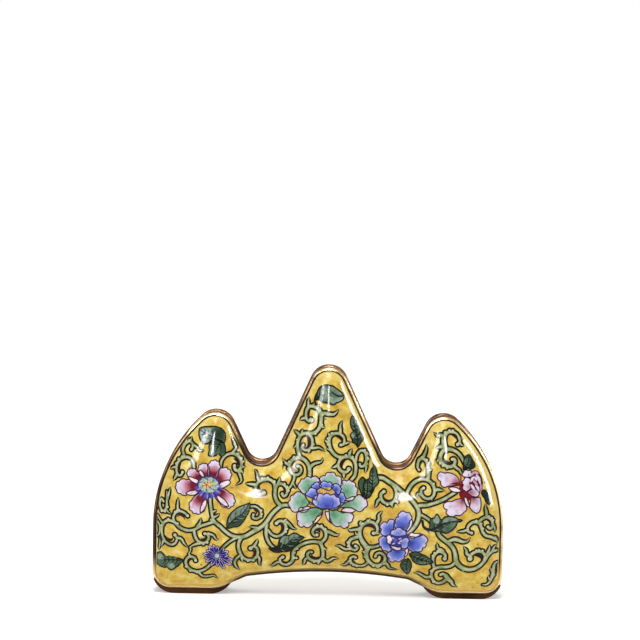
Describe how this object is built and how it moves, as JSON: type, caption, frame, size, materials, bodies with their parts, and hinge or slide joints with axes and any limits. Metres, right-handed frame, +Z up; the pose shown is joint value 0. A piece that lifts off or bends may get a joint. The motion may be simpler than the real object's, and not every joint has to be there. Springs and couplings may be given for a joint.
{
  "type": "brush rest",
  "caption": "Mountain-shaped brush rest of domed enamelled copper, with cradles between its peaks and an arch between its feet.",
  "frame": {"origin": "centre of the bounding box at the underside of the soles, on the table", "axes": "+X along the rest to the right as seen from the front, +Y from the front face to the back face, +Z up"},
  "size_m": [0.1498, 0.0288, 0.0985],
  "materials": {
    "enamel": "glossy fired enamel, yellow ground painted with flowers and scrolling vines",
    "copper": "darkened bare copper, satin",
    "gilt": "worn gilding, polished on the crown of the rim"
  },
  "bodies": {
    "root": {"front_shell": "copper", "back_shell": "copper", "front_enamel": "enamel", "back_enamel": "enamel", "upper_band": "copper", "arch_band": "copper", "front_rim": "gilt", "back_rim": "gilt", "left_sole": "copper", "right_sole": "copper"}
  },
  "joints": []
}
